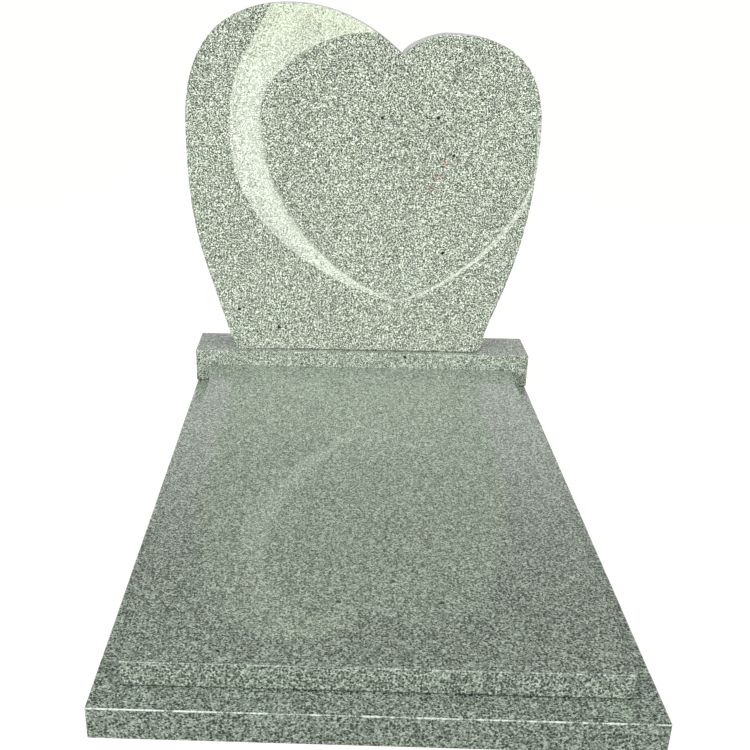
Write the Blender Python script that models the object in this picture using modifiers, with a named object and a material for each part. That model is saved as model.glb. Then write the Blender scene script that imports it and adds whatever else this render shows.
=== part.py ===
"""A grave memorial in pale speckled granite: a heart headstone on a plinth, and a flat ledger slab on a kerb frame.

Metres, +Z up, +Y from the foot of the grave to the headstone. The origin is on the ground in the middle of the
kerb frame. Every block is a piece of its own and keeps a hair joint to the block beside or below it.
"""

import math

import bmesh
import bpy
import numpy as np
from mathutils import Vector

# Kerb frame: four flat bars laid on the ground.
KERB_WIDTH = 1.000
KERB_HEIGHT = 0.065

# Ledger: the polished cover slab, smaller than the frame all round.
LEDGER_SIDE_STEP = 0.050
LEDGER_LENGTH = 1.400
LEDGER_THICKNESS = 0.052
LEDGER_FRONT_STEP = 0.060
LEDGER_BEARING_DEPTH = 0.075

# Plinth: the headstone's base block, laid across the back of the frame.
PLINTH_OVERHANG = 0.004
PLINTH_DEPTH = 0.155
PLINTH_HEIGHT = 0.098

# Headstone: a slab with an uneven heart outline, a little left of the middle of its plinth.
HEADSTONE_WIDTH = 0.996
HEADSTONE_HEIGHT = 0.992
HEADSTONE_THICKNESS = 0.100
HEADSTONE_SETBACK = 0.024
HEADSTONE_OFFSET = -0.016

# Carving on the headstone's face: how deep the floor lies along the foot of the heart panel's edge.
CRESCENT_DEPTH = 0.008
TIP_DEPTH = 0.003
BAND_DEPTH = 0.004
BAND_WIDTH_AT_TIP = 0.005
BAND_WIDTH = 0.014
# Share of the band's run from the tip after which it keeps its full width.
BAND_WIDE_SHARE = 0.6

# Fits and edges.
JOINT = 0.0003
ARRIS = 0.002
HEADSTONE_ARRIS = 0.0015
ARRIS_FROM_ANGLE = math.radians(60.0)
SMOOTH_UNDER_ANGLE = math.radians(25.0)
WELD = 0.00001

# The carving's cutter: how far it stands out of the face, and how far its edges run on past the outline.
CUTTER_LIP = 0.010
PANEL_EDGE_PAST_TOP = (0.108, 0.012)
CRESCENT_RIM_PAST_TOP = (0.018, 0.072)
BAND_PAST_RIGHT = 0.060

# How finely the round stretches are stepped.
OUTLINE_STEPS = 14
CARVING_STEPS = 22

# Heart outline as Bezier nodes, clockwise from the left foot: point, handle before it, handle after it.
# X is a share of the headstone's width from its middle, and Z a share of its height from its foot.
# STRAIGHT in place of a handle makes that side of the node a straight run.
STRAIGHT = None
HEART_OUTLINE = (
    ((-0.371, 0.000), STRAIGHT, (-0.471, 0.336)),
    ((-0.500, 0.672), (-0.500, 0.361), (-0.500, 0.890)),
    ((-0.211, 1.000), (-0.399, 1.000), (-0.038, 1.000)),
    ((0.107, 0.867), (0.067, 0.901), (0.121, 0.897)),
    ((0.227, 0.922), (0.197, 0.922), (0.428, 0.922)),
    ((0.500, 0.647), (0.500, 0.822), (0.500, 0.285)),
    ((0.383, 0.036), (0.392, 0.125), (0.381, 0.016)),
    ((0.351, 0.000), (0.370, 0.000), STRAIGHT),
)
# Edge of the polished heart panel, from the headstone's top edge round the left to the heart's tip.
PANEL_EDGE = (
    ((0.036, 0.924), (0.060, 0.924), (-0.110, 0.938)),
    ((-0.286, 0.706), (-0.286, 0.827), (-0.286, 0.403)),
    ((0.115, 0.164), (-0.035, 0.206), (0.130, 0.160)),
)
# Outer rim of the blasted crescent, between the same two ends.
CRESCENT_RIM = (
    ((-0.253, 1.001), (-0.230, 1.045), (-0.344, 0.824)),
    ((-0.373, 0.645), (-0.373, 0.841), (-0.373, 0.344)),
    ((0.116, 0.158), (-0.025, 0.192), (0.130, 0.150)),
)
# Middle line of the narrow band, from the heart's tip up to the right edge.
BAND_LINE = (
    ((0.1155, 0.161), (0.050, 0.145), (0.335, 0.221)),
    ((0.496, 0.568), (0.504, 0.450), (0.492, 0.620)),
)

# Surface of each block: linear colour of the speckle's mean, and how rough its worked faces are.
VERTICAL_POLISH = ((0.40, 0.44, 0.36), 0.22)
TOP_POLISH = ((0.27, 0.31, 0.25), 0.12)
SAWN_KERB = ((0.24, 0.28, 0.22), 0.30)


def new_collection(name):
    """An empty collection linked under the scene."""
    group = bpy.data.collections.new(name)
    bpy.context.scene.collection.children.link(group)
    return group


def granite(name, look):
    """A Principled material from a (colour, roughness) pair."""
    colour, roughness = look
    material = bpy.data.materials.new(name)
    material.use_nodes = True
    shader = material.node_tree.nodes["Principled BSDF"]
    shader.inputs["Base Color"].default_value = (*colour, 1.0)
    shader.inputs["Roughness"].default_value = roughness
    shader.inputs["Metallic"].default_value = 0.0
    return material


def block(group, name, low, high, look):
    """A squared block between two corners, with a small chamfer on every arris."""
    low, high = Vector(low), Vector(high)
    mesh = bpy.data.meshes.new(name)
    shape = bmesh.new()
    bmesh.ops.create_cube(shape, size=1.0)
    bmesh.ops.scale(shape, vec=high - low, verts=shape.verts)
    shape.to_mesh(mesh)
    shape.free()
    mesh.materials.append(granite(name + "_granite", look))
    piece = bpy.data.objects.new(name, mesh)
    piece.location = (low + high) / 2.0
    group.objects.link(piece)
    arris = piece.modifiers.new("arris", "BEVEL")
    arris.width = ARRIS
    arris.segments = 1
    return piece


def bezier_points(nodes, steps):
    """Points along a chain of cubic Bezier spans, as an array of X, Z shares."""
    t = np.linspace(0.0, 1.0, steps, endpoint=False)[:, None]
    spans = []
    for (start, _, leave), (end, arrive, _) in zip(nodes[:-1], nodes[1:]):
        start, leave, arrive, end = (np.array(p) for p in (start, leave, arrive, end))
        spans.append(
            (1 - t) ** 3 * start + 3 * (1 - t) ** 2 * t * leave + 3 * (1 - t) * t**2 * arrive + t**3 * end
        )
    spans.append(np.array(nodes[-1][0])[None, :])
    return np.vstack(spans)


def on_headstone(shares):
    """Shares of the headstone's width and height as metres, X from its middle and Z from its foot."""
    return np.asarray(shares) * (HEADSTONE_WIDTH, HEADSTONE_HEIGHT)


def mesh_from_curve(curve_object, name, group):
    """The curve's evaluated shape as a welded mesh object in its place; the curve is removed."""
    depsgraph = bpy.context.evaluated_depsgraph_get()
    mesh = bpy.data.meshes.new_from_object(curve_object.evaluated_get(depsgraph))
    mesh.name = name
    shape = bmesh.new()
    shape.from_mesh(mesh)
    bmesh.ops.remove_doubles(shape, verts=shape.verts, dist=WELD)
    shape.to_mesh(mesh)
    shape.free()
    place = curve_object.matrix_world.copy()
    bpy.data.objects.remove(curve_object)
    piece = bpy.data.objects.new(name, mesh)
    piece.matrix_world = place
    group.objects.link(piece)
    return piece


def heart_slab(group, name, centre):
    """The headstone before carving: the outline as a filled curve, given half its thickness each way."""
    outline = bpy.data.curves.new(name + "_outline", "CURVE")
    outline.dimensions = "2D"
    outline.fill_mode = "BOTH"
    outline.resolution_u = OUTLINE_STEPS
    outline.extrude = HEADSTONE_THICKNESS / 2.0
    # A new spline already has its first point.
    spline = outline.splines.new("BEZIER")
    spline.bezier_points.add(len(HEART_OUTLINE) - 1)
    spline.use_cyclic_u = True
    for node, (point, before, after) in zip(spline.bezier_points, HEART_OUTLINE):
        node.co = (*on_headstone(point), 0.0)
        node.handle_left_type = "VECTOR" if before is STRAIGHT else "FREE"
        node.handle_right_type = "VECTOR" if after is STRAIGHT else "FREE"
        if before is not STRAIGHT:
            node.handle_left = (*on_headstone(before), 0.0)
        if after is not STRAIGHT:
            node.handle_right = (*on_headstone(after), 0.0)
    slab = bpy.data.objects.new(name + "_outline", outline)
    slab.location = centre
    slab.rotation_euler = (math.radians(90.0), 0.0, 0.0)
    group.objects.link(slab)
    bpy.context.view_layer.update()
    return mesh_from_curve(slab, name, group)


def carving_edges():
    """The carving's inner edge, outer edge and floor depth, from the top edge round the tip to the right edge.

    On the left the two edges are the panel's edge and the crescent's rim. On the right they run half the
    band's width to either side of its middle line. Both ends run on past the headstone's own outline.
    """
    panel = on_headstone(bezier_points(PANEL_EDGE, CARVING_STEPS))
    rim = on_headstone(bezier_points(CRESCENT_RIM, CARVING_STEPS))
    line = on_headstone(bezier_points(BAND_LINE, CARVING_STEPS))[1:]
    away = np.gradient(line, axis=0)
    away /= np.linalg.norm(away, axis=1)[:, None]
    side = np.stack([-away[:, 1], away[:, 0]], axis=1)
    along = np.linspace(0.0, 1.0, len(line))
    widened = np.minimum(1.0, along / BAND_WIDE_SHARE)
    half = (BAND_WIDTH_AT_TIP + (BAND_WIDTH - BAND_WIDTH_AT_TIP) * widened) / 2.0
    inner = np.vstack([panel, line + side * half[:, None]])
    outer = np.vstack([rim, line - side * half[:, None]])
    width = np.linalg.norm(panel - rim, axis=1)
    left_depth = TIP_DEPTH + (CRESCENT_DEPTH - TIP_DEPTH) * width / width.max()
    right_depth = TIP_DEPTH + (BAND_DEPTH - TIP_DEPTH) * along
    depth = np.concatenate([left_depth, right_depth])

    past_right = BAND_PAST_RIGHT * away[-1]
    inner = np.vstack([inner[0] + PANEL_EDGE_PAST_TOP, inner, inner[-1] + past_right])
    outer = np.vstack([outer[0] + CRESCENT_RIM_PAST_TOP, outer, outer[-1] + past_right])
    depth = np.concatenate([depth[:1], depth, depth[-1:]])
    return inner, outer, depth


def carving_cutter(group, name, face_y, centre_x, foot_z):
    """What is cut from the face: a long wedge whose floor sinks from the outer edge to the panel's edge.

    Each section is a triangle: a corner in front of the face beyond the outer edge, the floor's low line
    under the panel's edge, and a corner straight in front of that line.
    """
    inner, outer, depth = carving_edges()
    across = outer - inner
    spread = (depth + CUTTER_LIP) / depth
    lip = inner + across * spread[:, None]

    def lift(flat, y):
        return np.stack([centre_x + flat[:, 0], face_y + y, foot_z + flat[:, 1]], axis=1)

    fronts = np.full(len(depth), -CUTTER_LIP)
    rings = np.stack([lift(inner, fronts), lift(inner, depth), lift(lip, fronts)], axis=1)
    shape = bmesh.new()
    rows = [[shape.verts.new(corner) for corner in ring] for ring in rings]
    for here, there in zip(rows[:-1], rows[1:]):
        for a, b in ((0, 1), (1, 2), (2, 0)):
            shape.faces.new((here[a], here[b], there[b], there[a]))
    shape.faces.new(rows[0][::-1])
    shape.faces.new(rows[-1])
    bmesh.ops.recalc_face_normals(shape, faces=shape.faces)
    bmesh.ops.triangulate(shape, faces=shape.faces)
    mesh = bpy.data.meshes.new(name)
    shape.to_mesh(mesh)
    shape.free()
    cutter = bpy.data.objects.new(name, mesh)
    cutter.hide_render = True
    cutter.display_type = "WIRE"
    group.objects.link(cutter)
    return cutter


def build_kerbs(group, back_y):
    """Front and back bars run the full width; the side bars butt between them."""
    front_y = -back_y
    front_depth = LEDGER_FRONT_STEP + LEDGER_BEARING_DEPTH
    side_width = LEDGER_SIDE_STEP + LEDGER_BEARING_DEPTH
    rear_depth = PLINTH_DEPTH + LEDGER_BEARING_DEPTH
    half = KERB_WIDTH / 2.0
    side_from = front_y + front_depth + JOINT
    side_to = back_y - rear_depth - JOINT
    block(group, "kerb_front", (-half, front_y, 0.0), (half, front_y + front_depth, KERB_HEIGHT), SAWN_KERB)
    block(group, "kerb_rear", (-half, back_y - rear_depth, 0.0), (half, back_y, KERB_HEIGHT), SAWN_KERB)
    for name, low_x in (("kerb_left", -half), ("kerb_right", half - side_width)):
        block(group, name, (low_x, side_from, 0.0), (low_x + side_width, side_to, KERB_HEIGHT), SAWN_KERB)


def build_ledger(group, plinth_front):
    """The cover slab, pushed up to the plinth."""
    back_y = plinth_front - JOINT
    base_z = KERB_HEIGHT + JOINT
    half = KERB_WIDTH / 2.0 - LEDGER_SIDE_STEP
    low = (-half, back_y - LEDGER_LENGTH, base_z)
    high = (half, back_y, base_z + LEDGER_THICKNESS)
    block(group, "ledger", low, high, TOP_POLISH)


def build_plinth(group, plinth_front, back_y):
    """The base block; returns the height of its top."""
    half = KERB_WIDTH / 2.0 + PLINTH_OVERHANG
    base_z = KERB_HEIGHT + JOINT
    top_z = base_z + PLINTH_HEIGHT
    block(group, "plinth", (-half, plinth_front, base_z), (half, back_y, top_z), VERTICAL_POLISH)
    return top_z


def build_headstone(group, cutters, plinth_front, plinth_top):
    """The heart slab, with the crescent and the band cut into its face."""
    face_y = plinth_front + HEADSTONE_SETBACK
    foot_z = plinth_top + JOINT
    centre = (HEADSTONE_OFFSET, face_y + HEADSTONE_THICKNESS / 2.0, foot_z)
    slab = heart_slab(group, "headstone", centre)
    slab.data.materials.append(granite("headstone_granite", VERTICAL_POLISH))
    arris = slab.modifiers.new("arris", "BEVEL")
    arris.width = HEADSTONE_ARRIS
    arris.segments = 1
    arris.limit_method = "ANGLE"
    arris.angle_limit = ARRIS_FROM_ANGLE
    cutter = carving_cutter(cutters, "carving_cutter", face_y, HEADSTONE_OFFSET, foot_z)
    carve = slab.modifiers.new("carving", "BOOLEAN")
    carve.operation = "DIFFERENCE"
    carve.solver = "EXACT"
    carve.object = cutter
    slab.data.shade_smooth()
    slab.data.set_sharp_from_angle(angle=SMOOTH_UNDER_ANGLE)


def main():
    for old in list(bpy.data.objects):
        bpy.data.objects.remove(old)
    group = new_collection("heart_grave_memorial")
    cutters = new_collection("cutters")
    frame_length = LEDGER_FRONT_STEP + LEDGER_LENGTH + JOINT + PLINTH_DEPTH
    back_y = frame_length / 2.0
    plinth_front = back_y - PLINTH_DEPTH
    build_kerbs(group, back_y)
    build_ledger(group, plinth_front)
    plinth_top = build_plinth(group, plinth_front, back_y)
    build_headstone(group, cutters, plinth_front, plinth_top)


main()
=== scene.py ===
# %% [markdown]
# A grave memorial in pale granite
#
# The object is a set of stone blocks: a heart headstone on a plinth, and a flat polished ledger slab on a
# frame of kerb bars. The blocks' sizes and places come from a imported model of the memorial, which this
# lesson loads first. Each block is then made again as a fine surface, with the eased edges, chips and
# carving of the real stone, and gets a granite built from noise. Everything is in metres, Z is up, and +Y
# runs from the foot of the grave to the headstone.

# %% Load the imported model
import math

import bmesh
import bpy
import numpy as np
from mathutils import Matrix, Vector


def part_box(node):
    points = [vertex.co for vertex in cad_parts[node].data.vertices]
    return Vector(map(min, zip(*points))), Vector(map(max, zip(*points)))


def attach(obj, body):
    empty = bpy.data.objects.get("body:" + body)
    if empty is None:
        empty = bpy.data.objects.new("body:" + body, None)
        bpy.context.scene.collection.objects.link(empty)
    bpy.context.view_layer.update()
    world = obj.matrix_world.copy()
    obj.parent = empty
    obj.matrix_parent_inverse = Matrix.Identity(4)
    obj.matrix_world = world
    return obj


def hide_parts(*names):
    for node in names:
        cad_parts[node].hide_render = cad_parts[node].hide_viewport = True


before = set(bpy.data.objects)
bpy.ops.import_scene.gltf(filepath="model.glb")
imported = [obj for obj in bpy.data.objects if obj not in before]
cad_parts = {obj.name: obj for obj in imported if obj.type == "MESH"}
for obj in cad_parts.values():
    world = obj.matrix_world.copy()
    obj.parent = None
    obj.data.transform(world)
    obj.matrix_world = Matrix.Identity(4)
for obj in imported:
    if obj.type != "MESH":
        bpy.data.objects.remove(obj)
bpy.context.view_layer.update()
MM = 0.001
print("blocks:", ", ".join(sorted(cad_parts)))

# %% [markdown]
# The camera
#
# The picture was taken from the foot of the grave, a hand's breadth left of its middle, with the camera at
# chest height and tipped down. A camera could be aimed at a target object, but three turns say more exactly
# how it was held: tipped down, rolled a little about its own line of sight, and swung sideways. The picture
# is cropped off centre, so the lens is shifted sideways by that much and no more.

# %% Place the camera
CAMERA_PLACE = (-0.0847, -2.1381, 1.2406)
CAMERA_TIP_DOWN = math.radians(22.43)
CAMERA_SWING_LEFT = math.radians(1.615)
CAMERA_ROLL = math.radians(0.516)
CAMERA_LENS_MM = 47.30
CAMERA_SHIFT = 0.09
CAMERA_SEES_TO = 400.0

lens = bpy.data.cameras.new("camera")
lens.lens = CAMERA_LENS_MM
lens.shift_x = CAMERA_SHIFT
lens.clip_end = CAMERA_SEES_TO
camera = bpy.data.objects.new("camera", lens)
turn = Matrix.Rotation(CAMERA_SWING_LEFT, 4, "Z")
turn = turn @ Matrix.Rotation(math.pi / 2.0 - CAMERA_TIP_DOWN, 4, "X")
turn = turn @ Matrix.Rotation(CAMERA_ROLL, 4, "Z")
camera.matrix_world = Matrix.Translation(CAMERA_PLACE) @ turn
bpy.context.scene.collection.objects.link(camera)
bpy.context.scene.camera = camera
print("camera stands", round(CAMERA_PLACE[2], 2), "m above the ground")

# %% [markdown]
# Colours and nodes
#
# Colours are picked in the usual hex form, which is made for screens. A shader works with light, so one
# function turns hex into linear values. A second function adds a shader node together with its settings and
# its links, which keeps each material down to a readable list.

# %% Colour and node helpers
SRGB_KNEE = 0.04045
SRGB_SLOPE = 12.92
SRGB_LIFT = 0.055
SRGB_POWER = 2.4


def linear(hex_colour):
    """Linear RGBA of a hex colour: the darkest part is divided by a slope, the rest follows a power."""
    shares = np.array([int(hex_colour[i : i + 2], 16) for i in (1, 3, 5)]) / 255.0
    curve = ((shares + SRGB_LIFT) / (1.0 + SRGB_LIFT)) ** SRGB_POWER
    light = np.where(shares <= SRGB_KNEE, shares / SRGB_SLOPE, curve)
    return (*light.tolist(), 1.0)


def add(tree, kind, inputs=None, give=0, **settings):
    """The output socket of a new node.

    settings are the node's properties, inputs are values or the sockets that feed it, and give picks the
    output that the call returns.
    """
    made = tree.nodes.new(kind)
    for key, value in settings.items():
        setattr(made, key, value)
    for key, value in (inputs or {}).items():
        if isinstance(value, bpy.types.NodeSocket):
            tree.links.new(value, made.inputs[key])
        else:
            made.inputs[key].default_value = value
    return made.outputs[give]


print("linear value of #808080:", round(linear("#808080")[0], 4))

# %% [markdown]
# Granite
#
# Granite is a solid packing of mineral grains a few millimetres across: milky feldspar, greyer glassy
# quartz, and flakes of dark mica. It could be painted on as a picture, but then the grains would stop or
# smear at the edges. A cut through the real stone shows random cells, which is what a 3D Voronoi pattern
# gives, and because the pattern is solid the grains run on round every edge as they do in a real block.
# Each cell draws a random number, and each mineral takes its share of those numbers. A noise bends the
# cells, so that their borders wander.
#
# The smallest crystals, under a millimetre, are finer than a pixel of the picture. So the grain and the
# flakes are drawn at the size that still shows, and the smaller crystals are left to their average tone.

# %% Crystals
GRAIN = 2.8 * MM
FINE_GRAIN = 2.25 * MM
WANDER = 0.8
WANDER_PER_GRAIN = 0.7
WANDER_DETAIL = 2.0
NOISE_MIDDLE = (0.5, 0.5, 0.5)
FELDSPAR = "#c5cdbf"
PALE_FELDSPAR = "#969f90"
QUARTZ = "#798274"
SMOKY_QUARTZ = "#545c51"
MINERAL_SHARES = ((0.0, FELDSPAR), (0.24, PALE_FELDSPAR), (0.56, QUARTZ), (0.82, SMOKY_QUARTZ))
ADD_UP = "MULTIPLY_ADD"


def mineral_colours(tree, chance):
    """Colour of a grain from its random number: each mineral takes its share of the range."""
    colour = add(tree, "ShaderNodeValToRGB", {0: chance})
    ramp = colour.node.color_ramp
    ramp.interpolation = "CONSTANT"
    ramp.elements[0].color = linear(MINERAL_SHARES[0][1])
    ramp.elements[1].position = MINERAL_SHARES[-1][0]
    ramp.elements[1].color = linear(MINERAL_SHARES[-1][1])
    for place, mineral in MINERAL_SHARES[1:-1]:
        ramp.elements.new(place).color = linear(mineral)
    return colour


def crystals(tree, place, grain):
    """The crystals' colour, the bent places that they lie in, and the noise that bends them.

    A bent place is the place plus the noise times a share of the grain, and each cell there is one crystal.
    """
    waves = {"Vector": place, "Scale": WANDER_PER_GRAIN / grain, "Detail": WANDER_DETAIL}
    wander = add(tree, "ShaderNodeTexNoise", waves, "Color")
    noise = add(tree, "ShaderNodeVectorMath", {0: wander, 1: NOISE_MIDDLE}, operation="SUBTRACT")
    bend = {0: noise, 1: (WANDER * grain,) * 3, 2: place}
    bent = add(tree, "ShaderNodeVectorMath", bend, operation=ADD_UP)
    cells = add(tree, "ShaderNodeTexVoronoi", {"Vector": bent, "Scale": 1.0 / grain}, "Color")
    chance = add(tree, "ShaderNodeSeparateColor", {0: cells})
    return mineral_colours(tree, chance), bent, noise


print("grain", GRAIN / MM, "mm, and", FINE_GRAIN / MM, "mm in the finer blocks")

# %% [markdown]
# Mica
#
# Mica splits into dark flakes that lie scattered among the paler crystals. They could be one more share of
# the same cells, but then every flake would be as large as a crystal. Here a second, wider set of cells has
# a flake round the centre of most cells, each of a size of its own. Where the stone has been blasted, the
# flakes are smaller and weaker.

# %% Mica flakes
MICA = "#1d221c"
MICA_EVERY = 2.0
MICA_SCATTER = 0.75
MICA_SHARE = 0.88
MICA_SMALLEST = 0.25
MICA_BOLD = 0.278
MICA_BOLDEST = 0.30
MICA_SPREAD = 0.25
FLAKE_LOSS = 0.28
FLAKE_SHRINK = 0.05


def mica_flakes(tree, bent, blasted, grain, flake_size, flake_depth):
    """How dark the mica makes each place: 1 inside a flake of a chosen cell, times the flakes' depth."""
    cells = {"Vector": bent, "Scale": 1.0 / (MICA_EVERY * grain), "Randomness": MICA_SCATTER}
    centre = add(tree, "ShaderNodeTexVoronoi", cells, "Distance")
    chance = add(tree, "ShaderNodeSeparateColor", {0: centre.node.outputs["Color"]})
    growing = {0: chance.node.outputs[1], 1: MICA_SPREAD, 2: flake_size}
    grown = add(tree, "ShaderNodeMath", growing, operation=ADD_UP)
    size = add(tree, "ShaderNodeMath", {0: blasted, 1: -FLAKE_SHRINK, 2: grown}, operation=ADD_UP)
    near = add(tree, "ShaderNodeMath", {0: centre, 1: size}, operation="LESS_THAN")
    chosen = add(tree, "ShaderNodeMath", {0: chance, 1: MICA_SHARE}, operation="LESS_THAN")
    mica = add(tree, "ShaderNodeMath", {0: near, 1: chosen}, operation="MULTIPLY")
    strength = add(tree, "ShaderNodeMath", {0: blasted, 1: -FLAKE_LOSS, 2: flake_depth}, operation=ADD_UP)
    return add(tree, "ShaderNodeMath", {0: mica, 1: strength}, operation="MULTIPLY")


print("mica every", MICA_EVERY * GRAIN / MM, "mm")

# %% [markdown]
# Rare marks
#
# Here and there the stone holds a dark inclusion or a pale blotch, a centimetre or two across. They could
# be placed one by one, but they lie in every face of every block. So much larger cells hold them: some
# cells have a dark core, and the others a pale one that fades out.

# %% Inclusions and blotches
INCLUSION_SPACING = 95.0 * MM
INCLUSION_RADIUS = 5.2 * MM
DARK_INCLUSIONS = 0.6
BLOTCH_RADIUS = 11.0 * MM
BLOTCH_STRENGTH = 0.6


def rare_marks(tree, bent):
    """How strong the dark inclusions are at each place, and how strong the pale blotches are."""
    cells = {"Vector": bent, "Scale": 1.0 / INCLUSION_SPACING}
    away = add(tree, "ShaderNodeTexVoronoi", cells, "Distance")
    core = INCLUSION_RADIUS / INCLUSION_SPACING
    inside = add(tree, "ShaderNodeMath", {0: away, 1: core}, operation="LESS_THAN")
    lot = add(tree, "ShaderNodeSeparateColor", {0: away.node.outputs["Color"]})
    darker = add(tree, "ShaderNodeMath", {0: lot, 1: DARK_INCLUSIONS}, operation="LESS_THAN")
    paler = add(tree, "ShaderNodeMath", {0: lot, 1: DARK_INCLUSIONS}, operation="GREATER_THAN")
    faded = {0: away, 1: BLOTCH_RADIUS / INCLUSION_SPACING, 2: 0.0, 4: BLOTCH_STRENGTH}
    fading = add(tree, "ShaderNodeMapRange", faded)
    inclusion = add(tree, "ShaderNodeMath", {0: inside, 1: darker}, operation="MULTIPLY")
    blotch = add(tree, "ShaderNodeMath", {0: fading, 1: paler}, operation="MULTIPLY")
    return inclusion, blotch


print("an inclusion or a blotch about every", INCLUSION_SPACING / MM, "mm")

# %% [markdown]
# What the years and the tools did, and painted light
#
# The worked finish changes how the same grains look. Sandblasting bruises the crystals, so they turn
# chalky. A knocked or chipped edge goes white in the same way. Some light and shade is painted in as well:
# a pale painted highlight low at the left end of each block's front, and painted shade in the joints that
# the blocks stand on. The front bar's front face is darkened and dulled. Three numbers from 0 to 1 say this
# at each point of a mesh: how far it is blasted, how far it is bruised or carries the painted highlight, and
# how far it carries the painted joint shade and the darkening. They could be separate materials, but then
# each would end at a hard line. As attributes of the mesh they fade into one another.
#
# The blasted crescent has a warm tint of algae where it is highest, and the heart has a few pinkish marks.
# Both are kept, because they make the surface read as real stone.

# %% Stains and marks
BLASTED = "#cfd5ca"
CHALK = 0.25
ALGAE = "#a8b08a"
ALGAE_FROM = 0.94
ALGAE_FULL = 1.12
ALGAE_STRENGTH = 0.24
PINK = "#ffbcb8"
PINK_RADIUS = 13.0 * MM
PINK_SMEAR = 14.0 * MM
PINK_STRENGTH = 0.8
MIX_FACTOR, MIX_BELOW, MIX_ABOVE, MIX_RESULT = 0, 6, 7, 2
MIX = {"kind": "ShaderNodeMix", "data_type": "RGBA", "give": MIX_RESULT}


def stained_colour(tree, place, blasted, minerals, blotch):
    """The crystals' colour, whiter where blasted, tinted by algae high up, and paler in the blotches."""
    chalk = add(tree, "ShaderNodeMath", {0: blasted, 1: CHALK}, operation="MULTIPLY")
    chalky = add(tree, **MIX, inputs={MIX_FACTOR: chalk, MIX_BELOW: minerals, MIX_ABOVE: linear(BLASTED)})
    height = add(tree, "ShaderNodeSeparateXYZ", {0: place}, "Z")
    high_up = {0: height, 1: ALGAE_FROM, 2: ALGAE_FULL, 4: ALGAE_STRENGTH}
    damp = add(tree, "ShaderNodeMapRange", high_up)
    green = add(tree, "ShaderNodeMath", {0: damp, 1: blasted}, operation="MULTIPLY")
    stained = add(tree, **MIX, inputs={MIX_FACTOR: green, MIX_BELOW: chalky, MIX_ABOVE: linear(ALGAE)})
    return add(tree, **MIX, inputs={MIX_FACTOR: blotch, MIX_BELOW: stained, MIX_ABOVE: linear(BLASTED)})


def flushed_colour(tree, place, noise, colour, marks):
    """The colour times a pinkish tint that fades out from each mark, its border uneven with the noise."""
    smear = {0: noise, 1: (PINK_SMEAR,) * 3, 2: place}
    smeared = add(tree, "ShaderNodeVectorMath", smear, operation=ADD_UP)
    for mark in marks:
        away = add(tree, "ShaderNodeVectorMath", {0: smeared, 1: mark}, "Value", operation="DISTANCE")
        pink = add(tree, "ShaderNodeMapRange", {0: away, 1: PINK_RADIUS, 2: 0.0, 4: PINK_STRENGTH})
        flushed = {MIX_FACTOR: pink, MIX_BELOW: colour, MIX_ABOVE: linear(PINK)}
        colour = add(tree, **MIX, inputs=flushed, blend_type="MULTIPLY")
    return colour


print("algae from", ALGAE_FROM, "m above the ground, marks", PINK_RADIUS / MM, "mm in radius")

# %% [markdown]
# White edges, painted light, darkening and clouds
#
# What lies over the grain comes last: the white of a knocked edge and the painted highlight, the painted
# joint shade and the darkening of the front bar, and the broad soft clouds that every large face of granite
# has. They could go into the colours of the crystals, but then a clean block and a shaded one would need two
# recipes. The last step is the tone of the whole block.

# %% Weathering
BRUISE_AND_HIGHLIGHT_COLOUR = "#e6ebe2"
SHADE_AND_DARKENING_COLOUR = "#2b302a"
CLOUD = 160.0 * MM
CLOUD_DEPTH = 0.16
FINE_DETAIL = 3.0


def weathered_colour(tree, place, bruised_and_highlit, grimed, colour, tint):
    """The colour with its white edges and painted highlight, then its painted joint shade and darkening,
    times a cloudy tone, times the tint of the block.
    """
    edged = add(tree, **MIX, inputs={MIX_FACTOR: bruised_and_highlit, MIX_BELOW: colour, MIX_ABOVE: linear(BRUISE_AND_HIGHLIGHT_COLOUR)})
    shaded_and_darkened = add(tree, **MIX, inputs={MIX_FACTOR: grimed, MIX_BELOW: edged, MIX_ABOVE: linear(SHADE_AND_DARKENING_COLOUR)})
    clouds = {"Vector": place, "Scale": 1.0 / CLOUD, "Detail": FINE_DETAIL}
    cloud = add(tree, "ShaderNodeTexNoise", clouds)
    clouding = {0: cloud, 1: CLOUD_DEPTH, 2: 1.0 - CLOUD_DEPTH / 2.0}
    shade = add(tree, "ShaderNodeMath", clouding, operation=ADD_UP)
    toning = {MIX_FACTOR: 1.0, MIX_BELOW: shaded_and_darkened, MIX_ABOVE: shade}
    toned = add(tree, **MIX, inputs=toning, blend_type="MULTIPLY")
    tinting = {MIX_FACTOR: 1.0, MIX_BELOW: toned, MIX_ABOVE: linear(tint)}
    return add(tree, **MIX, inputs=tinting, blend_type="MULTIPLY")


print("clouds", CLOUD / MM, "mm across")

# %% [markdown]
# Polish
#
# A mirror polish shows the stone's full colour under a clear reflection, and a thin coat of wax deepens it.
# The polish is lost where the stone is blasted or bruised, and also under the painted highlight, the painted
# joint shade and the darkening of the front bar, and mica takes it a little less well than the other
# minerals. One roughness for the whole block would be simpler, but the blasted crescent stands out because
# it is dull. Small pits, hardly there in the polish, roughen the dull places. Granite has no metal in it,
# and its index of refraction is that of quartz and feldspar.

# %% Polish
GRANITE_IOR = 1.54
MICA_ROUGHNESS = 0.10
DULL_ROUGHNESS = 0.70
PIT = 2.2 * MM
PIT_DEPTH = 1.5 * MM
PITS_IN_POLISH = 0.004
PITS_IN_CHALK = 0.50


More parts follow.
